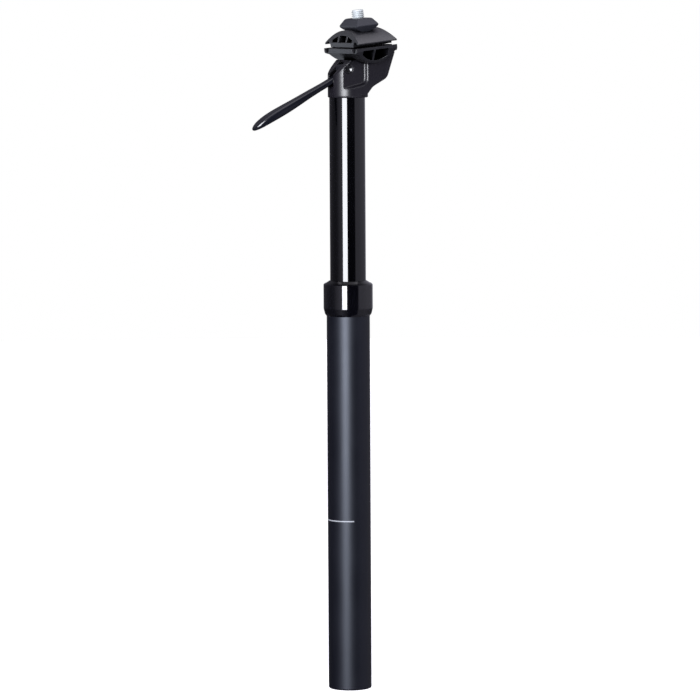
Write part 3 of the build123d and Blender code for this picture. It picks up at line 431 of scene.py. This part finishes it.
def rubbed_and_highlit_edges(tree, place):
    """How much an edge is lightened here, as wear and as a painted highlight, in broken
    patches along it, from 0 to 1.
    """
    near_edge = tree.nodes.new("ShaderNodeVectorMath")
    near_edge.operation = "DOT_PRODUCT"
    true_direction = tree.nodes.new("ShaderNodeNewGeometry").outputs["Normal"]
    tree.links.new(soft_edges(tree, EDGE_BAND), near_edge.inputs[0])
    tree.links.new(true_direction, near_edge.inputs[1])
    edge = remap(tree, near_edge.outputs["Value"], 1, 0, EDGE_FROM, EDGE_TO)
    broken = noise(tree, place, EDGE_PATCH_SCALE, detail=5.0)
    return calculate(tree, "MULTIPLY", edge, remap(tree, broken, 0, 1, PATCH_FROM, PATCH_TO))


def painted_recess_shade(tree, reach):
    """How much shade is painted: 0 in the open and 1 deep in a slot or a window, looking this
    far for its walls.
    """
    shade = add(tree, "ShaderNodeAmbientOcclusion", Distance=reach)
    shade.samples = SHADE_SAMPLES
    return remap(tree, shade.outputs["AO"], 1, 0, SHADE_FROM, SHADE_TO)


print("wear band", EDGE_BAND, "recess from", SHADE_FROM, "to", SHADE_TO)

# %% [markdown]
# ## One helper for every finish
# The helper below puts the shared nodes together. What changes from piece to piece is handed
# in: two close colours, the range of the gloss, the size of the grain, how soft the edges
# are, what lighter colour shows where they are rubbed, which also paints a highlight on
# them, and how far to look for a recess's walls. Shade is painted into a deep recess: it
# turns to black metal, which mirrors next to nothing. Grain and cloud are counted per
# metre; bump size, softness and the reach of the painted shade are lengths in metres.

# %% Finish helper
GRAIN_DETAIL = 3.0
PAINTED_SHADE_BLACK = (0.0, 0.0, 0.0)


def finish(name, dark, light, metallic=0.0, rough=(0.3, 0.36), grain=900.0, cloud=28.0,
           bump=0.03, bump_size=0.00002, stretch=(1, 1, 1), specular=0.5, tint=(1, 1, 1),
           soften=0.0, worn_and_highlight=None, shade_reach=0.0):
    """A coated or bare surface: two close colours, cloudy gloss, fine grain, edges lightened
    as wear and painted highlight, painted shade in recesses.
    """
    material, shader = new_material(name)
    tree = material.node_tree
    place = tree.nodes.new("ShaderNodeTexCoord").outputs["Object"]
    clouds = noise(tree, place, cloud, stretch=stretch)
    bumps = add(tree, "ShaderNodeBump", Strength=bump, Distance=bump_size)
    fine = noise(tree, place, grain, detail=GRAIN_DETAIL, stretch=stretch)
    tree.links.new(fine, bumps.inputs["Height"])
    if soften:
        tree.links.new(soft_edges(tree, soften), bumps.inputs["Normal"])
    colour = mix_colour(tree, remap(tree, clouds, 0, 1), dark, light)
    # Lighter rubbed edges, partly wear and partly a painted highlight along the edge
    if worn_and_highlight:
        colour = mix_colour(tree, rubbed_and_highlit_edges(tree, place), colour, worn_and_highlight)
    shader.inputs["Metallic"].default_value = metallic
    # Painted shade: deep in a recess the colour is darkened to black and the surface made
    # black metal, so it mirrors next to nothing
    if shade_reach:
        shade_depth = painted_recess_shade(tree, shade_reach)
        colour = mix_colour(tree, shade_depth, colour, PAINTED_SHADE_BLACK)
        tree.links.new(shade_depth, shader.inputs["Metallic"])
    tree.links.new(colour, shader.inputs["Base Color"])
    tree.links.new(remap(tree, clouds, *rough), shader.inputs["Roughness"])
    shader.inputs["Specular IOR Level"].default_value = specular
    shader.inputs["Specular Tint"].default_value = (*tint, 1)
    tree.links.new(bumps.outputs["Normal"], shader.inputs["Normal"])
    return material


def wear(material, *names):
    """Puts a finish on CAD nodes by name."""
    for name in names:
        piece = nodes[name]
        piece.data.materials.clear()
        piece.data.materials.append(material)
    print(material.name, "on", ", ".join(names))


print("finish and wear are ready for", len(nodes), "nodes")

# %% [markdown]
# ## Lower tube
# The lower tube is extruded aluminium, bead blasted and anodised black. The blasting leaves
# a pitted surface that spreads the light, so its stripe is wide and grey with a blue cast.
# A high roughness and a very fine bump give that; the base colour is almost nothing.

# %% Lower tube
tube_black = finish(
    "anodised_tube_black", (0.0007, 0.0008, 0.0022), (0.0011, 0.0012, 0.0028),
    rough=(0.39, 0.43), grain=2600, bump=0.3, bump_size=0.00003, specular=0.47,
    tint=(0.80, 0.86, 1.0))
wear(tube_black, "outer_tube")

# %% [markdown]
# ## Minimum insertion line
# A thin pale line is printed across the front of the tube: the tube may be pulled out of the
# frame up to it and no farther. Print has no thickness to speak of, so it is drawn in the
# tube's finish, by the height and the side of each point, and stays put from every view.

# %% Minimum insertion line
LINE_HEIGHT = -129.0 * MM
LINE_HALF = 0.37 * MM
LINE_END_X = -2.3 * MM
LINE_COLOUR = (0.16, 0.165, 0.18)
tube_tree = tube_black.node_tree
tube_shader = tube_tree.nodes["Principled BSDF"]
spot = tube_tree.nodes.new("ShaderNodeSeparateXYZ")
tube_place = tube_tree.nodes.new("ShaderNodeTexCoord").outputs["Object"]
tube_tree.links.new(tube_place, spot.inputs[0])
at_height = calculate(tube_tree, "COMPARE", spot.outputs["Z"], LINE_HEIGHT, LINE_HALF)
at_front = calculate(tube_tree, "LESS_THAN", spot.outputs["X"], LINE_END_X)
on_line = calculate(tube_tree, "MULTIPLY", at_height, at_front)
bare_tube = tube_shader.inputs["Base Color"].links[0].from_socket
printed = mix_colour(tube_tree, on_line, bare_tube, LINE_COLOUR)
tube_tree.links.new(printed, tube_shader.inputs["Base Color"])
print("insertion line at", LINE_HEIGHT, "and", 2 * LINE_HALF, "thick")

# %% [markdown]
# ## Upper post and collar
# The upper post is ground and polished before it is anodised, because its seals slide on it.
# It mirrors the room with hardly any blur. The collar is turned and anodised too, but not
# ground, so its mirror image is a little softer. The lip of rubber on top of the collar is
# kept wet with oil by the foam under it, and that makes it nearly as shiny.

# %% Upper post and collar
gloss_black = finish(
    "polished_post_black", (0.0003, 0.0003, 0.0005), (0.0006, 0.0006, 0.0009),
    rough=(0.045, 0.06), grain=1500, bump=0.02, bump_size=0.00001, soften=0.00015)
wear(gloss_black, "stanchion")
collar_black = finish(
    "turned_collar_black", (0.0006, 0.0006, 0.0012), (0.0010, 0.0010, 0.0018),
    rough=(0.06, 0.09), grain=1800, bump=0.05, bump_size=0.00001, soften=0.0003,
    specular=0.65)
wear(collar_black, "seal_collar")
wiper_rubber = finish(
    "oiled_wiper_rubber", (0.0010, 0.0010, 0.0014), (0.0018, 0.0018, 0.0024),
    rough=(0.16, 0.22), grain=1200, bump=0.08, bump_size=0.00002, soften=0.0004)
wear(wiper_rubber, "wiper_seal")

# %% [markdown]
# ## Head and lever
# Both are forged, blasted and painted a satin black. Paint rounds every edge, which shows as
# the two bright lines along the side pocket, so the Bevel radius is large here. Shade is
# painted into the slot between the cheeks, where the lever's hub sits, so it stays dark, and
# the edges get a lighter colour that is partly wear and partly painted highlight. The
# lever's paint is thinner and shinier, which draws a crisp bright edge round its tip.

# %% Head and lever
# The head's worn colour is partly wear and partly painted edge highlight; its recess reach
# paints shade into its slot and pocket
head_paint = finish(
    "satin_head_paint", (0.0040, 0.0036, 0.0056), (0.0052, 0.0046, 0.0070),
    rough=(0.30, 0.36), grain=1700, bump=0.3, bump_size=0.00006, soften=0.0018,
    specular=0.42, worn_and_highlight=(0.015, 0.015, 0.018), shade_reach=0.012)
wear(head_paint, "seat_head")
# The lever's worn colour is partly wear and partly painted edge highlight; its recess reach
# paints shade where it sits in the slot
lever_paint = finish(
    "semi_gloss_lever_paint", (0.0008, 0.0009, 0.0015), (0.0011, 0.0012, 0.0020),
    rough=(0.13, 0.18), grain=1700, bump=0.08, bump_size=0.00003, soften=0.0011,
    specular=0.25, worn_and_highlight=(0.004, 0.004, 0.005), shade_reach=0.022)
wear(lever_paint, "lever")

# %% [markdown]
# ## Saddle clamp
# Forged and anodised dark grey, with a finer and deeper grain than the head's paint. The
# nut on top is blackened steel: it shines less and has softer edges, from tumbling.

# %% Saddle clamp
# The clamp's worn colour is partly wear and partly painted edge highlight; its recess reach
# paints shade into its windows and under the arch
clamp_grey = finish(
    "forged_clamp_grey", (0.0014, 0.0014, 0.0026), (0.0024, 0.0024, 0.0040),
    rough=(0.38, 0.44), grain=2200, bump=0.35, bump_size=0.00006, soften=0.00045,
    worn_and_highlight=(0.02, 0.02, 0.024), specular=0.55, shade_reach=0.010)
wear(clamp_grey, "lower_clamp", "upper_clamp")
# The nut's worn colour is partly wear and partly painted edge highlight
nut_black = finish(
    "blackened_nut_steel", (0.009, 0.0095, 0.013), (0.013, 0.0135, 0.018),
    rough=(0.42, 0.5), grain=1500, bump=0.4, bump_size=0.00008, soften=0.0008,
    worn_and_highlight=(0.03, 0.03, 0.033), specular=0.2)
wear(nut_black, "barrel_nut")

# %% [markdown]
# ## Fasteners
# The clamp bolt and the small parts are zinc plated, a pale metal with a soft, broken
# shine. The bolt that is turned below has a duller plating, since the end that shows is
# matt and pale grey. The lever's pivot screw is polished and blackened, and shows one small
# glint.

# %% Fasteners
zinc = finish(
    "zinc_plated_steel", (0.50, 0.52, 0.55), (0.62, 0.63, 0.65), metallic=1.0,
    rough=(0.34, 0.44), grain=1800, bump=0.15)
wear(zinc, "clamp_bolt", "half_round_washer", "adjuster_screw", "adjuster_locknut",
     "cartridge_circlip", "base_circlip", "rod_washer", "rod_nut")
bolt_zinc = finish(
    "matt_zinc_bolt", (0.27, 0.29, 0.30), (0.34, 0.36, 0.37), metallic=0.2,
    rough=(0.45, 0.55), grain=2400, bump=0.2)
pivot_black = finish(
    "polished_pivot_black", (0.004, 0.004, 0.005), (0.007, 0.007, 0.008),
    rough=(0.12, 0.18), grain=2400, bump=0.05, specular=0.6)
wear(pivot_black, "lever_pivot_screw")

# %% [markdown]
# ## Turned pieces
# Bolts and screws are turned, and Blender's spin does the same: a half profile goes once
# round an axis and closes on itself. The profile is written as pairs of a radius and a
# height in millimetres, from the middle of one end to the middle of the other.

# %% Turned pieces
SAME_POINT = 0.001


def turned(profile, centre, axis, side, steps):
    """A spun shape, from radii and heights along an axis through a centre."""
    spun = bmesh.new()
    points = [spun.verts.new(centre + (side * r + axis * h) * MM) for r, h in profile]
    lines = [spun.edges.new(pair) for pair in zip(points, points[1:])]
    bmesh.ops.spin(
        spun, geom=points + lines, cent=centre, axis=axis, angle=2 * pi, steps=steps,
        use_merge=True)
    bmesh.ops.remove_doubles(spun, verts=spun.verts, dist=SAME_POINT * MM)
    return spun


def reshape(spun, centre, axis, side, radius_at):
    """Moves each point in or out, to radius_at(radius, height, angle) in millimetres."""
    for point in spun.verts:
        from_centre = (point.co - centre) / MM
        height = from_centre.dot(axis)
        across = from_centre - axis * height
        radius = across.length
        if radius > SAME_POINT:
            angle = atan2(across.dot(axis.cross(side)), across.dot(side))
            point.co += across * (radius_at(radius, height, angle) / radius - 1) * MM


print("points within", SAME_POINT, "mm of each other become one")

# %% [markdown]
# ## Sharp edges and hexagons
# A turned piece is smooth all round, yet its rims are crisp. All faces are shaded smooth,
# and an edge is marked sharp where its faces meet at a steep angle. A Bevel modifier could
# round the rims too, but these two screws are so small that the marks are enough. Both
# have a hexagon socket, which is a round hole whose points are moved out to six corners.

# %% Sharp edges and hexagons
SHARP_EDGE = radians(38)


def finished_piece(spun, name, material, sharp=SHARP_EDGE):
    """The shape as an object, smooth but for its sharp edges, with its material."""
    bmesh.ops.recalc_face_normals(spun, faces=spun.faces)
    for face in spun.faces:
        face.smooth = True
    for edge in spun.edges:
        edge.smooth = edge.calc_face_angle(0) < sharp
    mesh = bpy.data.meshes.new(name)
    spun.to_mesh(mesh)
    spun.free()
    mesh.materials.append(material)
    piece = bpy.data.objects.new(name, mesh)
    bpy.context.scene.collection.objects.link(piece)
    print(name, "faces", len(mesh.polygons))
    return piece


def hexagon_radius(flat_radius, angle):
    """The radius of a hexagon at an angle, from the radius to its flats."""
    return flat_radius / cos((angle + pi / 6) % (pi / 3) - pi / 6)


print("a hexagon of 1 mm to its flats has corners at", round(hexagon_radius(1, pi / 6), 3))

# %% [markdown]
# ## Clamp bolt
# The bolt comes up through both clamps and shows its end above the nut. It leans with the
# clamp, so its own axis is worked out first. Its profile starts in the socket, goes round
# the head and up the shank, and has ten rows of points to each pitch where the thread comes.

# %% Bolt profile
CRADLE = Vector((9.3, 0, 173.4)) * MM
CLAMP_TILT = radians(6.3)
BOLT_UP = Vector((-sin(CLAMP_TILT), 0, cos(CLAMP_TILT)))
BOLT_SIDE = Vector((cos(CLAMP_TILT), 0, sin(CLAMP_TILT)))
BOLT_R = 4.0
BOLT_TIP = 18.6
BOLT_TIP_CHAMFER = 0.8
BOLT_TIP_ROWS = 4
BOLT_SOCKET_R = 3.0
PITCH = 1.25
THREAD_START = -14.0
ROWS_A_PITCH = 10
# The bolt's head and shank, as radius and height
bolt_profile = [
    (0, -24.85), (BOLT_SOCKET_R, -24.85), (BOLT_SOCKET_R, -28.0), (3.65, -28.25),
    (5.4, -28.25), (6.0, -27.65), (6.0, -22.45), (5.8, -22.25), (4.3, -22.25),
    (BOLT_R, -21.95), (BOLT_R, THREAD_START),
]
chamfer_start = BOLT_TIP - BOLT_TIP_CHAMFER
thread_rows = round((chamfer_start - THREAD_START) / PITCH * ROWS_A_PITCH)
row_height = (chamfer_start - THREAD_START) / thread_rows
bolt_profile += [(BOLT_R, THREAD_START + row_height * i) for i in range(1, thread_rows + 1)]
tip_row = BOLT_TIP_CHAMFER / BOLT_TIP_ROWS
bolt_profile += [
    (BOLT_R - tip_row * i, chamfer_start + tip_row * i) for i in range(1, BOLT_TIP_ROWS + 1)]
bolt_profile += [(0, BOLT_TIP)]
print("bolt profile", len(bolt_profile), "points, thread rows", thread_rows)

# %% [markdown]
# ## Rolled thread
# A thread can be spun as a helix, but then its ends have to be closed by hand. Here the
# bolt is turned in one spin, and every point is then pressed in by its place along the
# helix. Both ends stay closed, and the thread fades out as a rolled one does.

# %% Clamp bolt
BOLT_STEPS = 72
THREAD_DEPTH = 0.70
THREAD_CREST_SHARE = 0.125
THREAD_FLANK_SHARE = 0.625
SOCKET_MARGIN = 0.1


def bolt_radius(radius, height, angle):
    """The thread above its start, the hexagon in the socket, and the rest unchanged."""
    if height > THREAD_START:
        along_turn = (height / PITCH - angle / (2 * pi)) % 1
        from_crest = abs(along_turn - 0.5) * 2 - THREAD_CREST_SHARE
        flank = min(max(from_crest / THREAD_FLANK_SHARE, 0), 1)
        fade = min((height - THREAD_START) / PITCH, 1)
        return min(radius, BOLT_R - THREAD_DEPTH * flank * fade)
    if radius < BOLT_SOCKET_R + SOCKET_MARGIN:
        return hexagon_radius(radius, angle)
    return radius


bolt_shape = turned(bolt_profile, CRADLE, BOLT_UP, BOLT_SIDE, BOLT_STEPS)
reshape(bolt_shape, CRADLE, BOLT_UP, BOLT_SIDE, bolt_radius)
threaded_bolt = finished_piece(bolt_shape, "threaded_clamp_bolt", bolt_zinc)
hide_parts("clamp_bolt")
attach(threaded_bolt, "clamping_bolt")

# %% [markdown]
# ## Pivot screw
# The lever turns on a screw through both cheeks. Its head lies in the near pocket and is
# countersunk round a hexagon socket: the slope of that dish is what throws the glint.

# %% Pivot screw
PIVOT = Vector((-3.1, 0, 155.0)) * MM
PIVOT_OUT = Vector((0, -1, 0))
PIVOT_SIDE = Vector((1, 0, 0))
PIVOT_SOCKET_R = 1.25
PIVOT_STEPS = 60
PIVOT_SHARP_EDGE = radians(50)
# The screw from the foot of its socket, over the dish and the rim, to its end
pivot_profile = [
    (0, 8.3), (PIVOT_SOCKET_R, 8.3), (PIVOT_SOCKET_R, 9.2), (1.6, 9.39), (1.95, 9.62),
    (2.3, 9.85), (2.42, 9.9), (2.58, 9.85), (2.7, 9.7), (2.7, 8.92), (2.0, 8.9),
    (2.0, -9.6), (1.8, -9.9), (0, -9.9),
]


def pivot_radius(radius, height, angle):
    """The hexagon in the socket, and the rest unchanged."""
    if height > 0 and radius < PIVOT_SOCKET_R + SOCKET_MARGIN:
        return hexagon_radius(radius, angle)
    return radius


pivot_shape = turned(pivot_profile, PIVOT, PIVOT_OUT, PIVOT_SIDE, PIVOT_STEPS)
reshape(pivot_shape, PIVOT, PIVOT_OUT, PIVOT_SIDE, pivot_radius)
dished_screw = finished_piece(
    pivot_shape, "dished_pivot_screw", pivot_black, PIVOT_SHARP_EDGE)
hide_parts("lever_pivot_screw")
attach(dished_screw, "upper_post")

# %% [markdown]
# ## Seals, bushings and foam
# Rubber is matt and takes dust, moulded plastic is smoother, and the ring of oiled foam
# under the wiper is the roughest of all: its bump is over six times as deep as the head's.

# %% Seals, bushings and foam
seal_rubber = finish(
    "matt_seal_rubber", (0.008, 0.008, 0.008), (0.014, 0.014, 0.014), rough=(0.5, 0.65),
    grain=1500, bump=0.3, bump_size=0.00004)
wear(seal_rubber, "rod_seal", "topout_bumper", "piston_ring",
     "floating_piston_rings", "valve_pin_seal")
bushing_plastic = finish(
    "moulded_bushing_plastic", (0.02, 0.02, 0.022), (0.035, 0.035, 0.037), rough=(0.45, 0.6),
    grain=1400, bump=0.2)
wear(bushing_plastic, "upper_bushing", "lower_bushing", "centring_ring")
oiled_foam = finish(
    "oiled_foam", (0.05, 0.05, 0.05), (0.12, 0.12, 0.12), rough=(0.8, 0.95), grain=900,
    bump=1.0, bump_size=0.0004)
wear(oiled_foam, "foam_ring")

# %% [markdown]
# ## Metals inside the post
# Turned aluminium keeps the fine rings of the tool, so its noise is squeezed along the
# post's axis. The rod is ground to a mirror for its seal, and the keys are drawn brass.

# %% Metals inside the post
turned_aluminium = finish(
    "turned_aluminium", (0.50, 0.50, 0.52), (0.60, 0.60, 0.62), metallic=1.0,
    rough=(0.25, 0.38), grain=500, bump=0.15, stretch=(1, 1, 14))
wear(turned_aluminium, "base_plug", "gas_cylinder", "oil_tube", "rod_guide", "piston",
     "floating_piston", "valve_block")
rod_steel = finish(
    "ground_rod_steel", (0.60, 0.60, 0.62), (0.68, 0.68, 0.70), metallic=1.0,
    rough=(0.08, 0.14), grain=2500, bump=0.05)
wear(rod_steel, "piston_rod", "valve_pin")
key_brass = finish(
    "key_brass", (0.62, 0.42, 0.16), (0.72, 0.52, 0.22), metallic=1.0, rough=(0.25, 0.4),
    grain=1500, bump=0.1)
wear(key_brass, "anti_rotation_keys")
print("materials", len(bpy.data.materials))
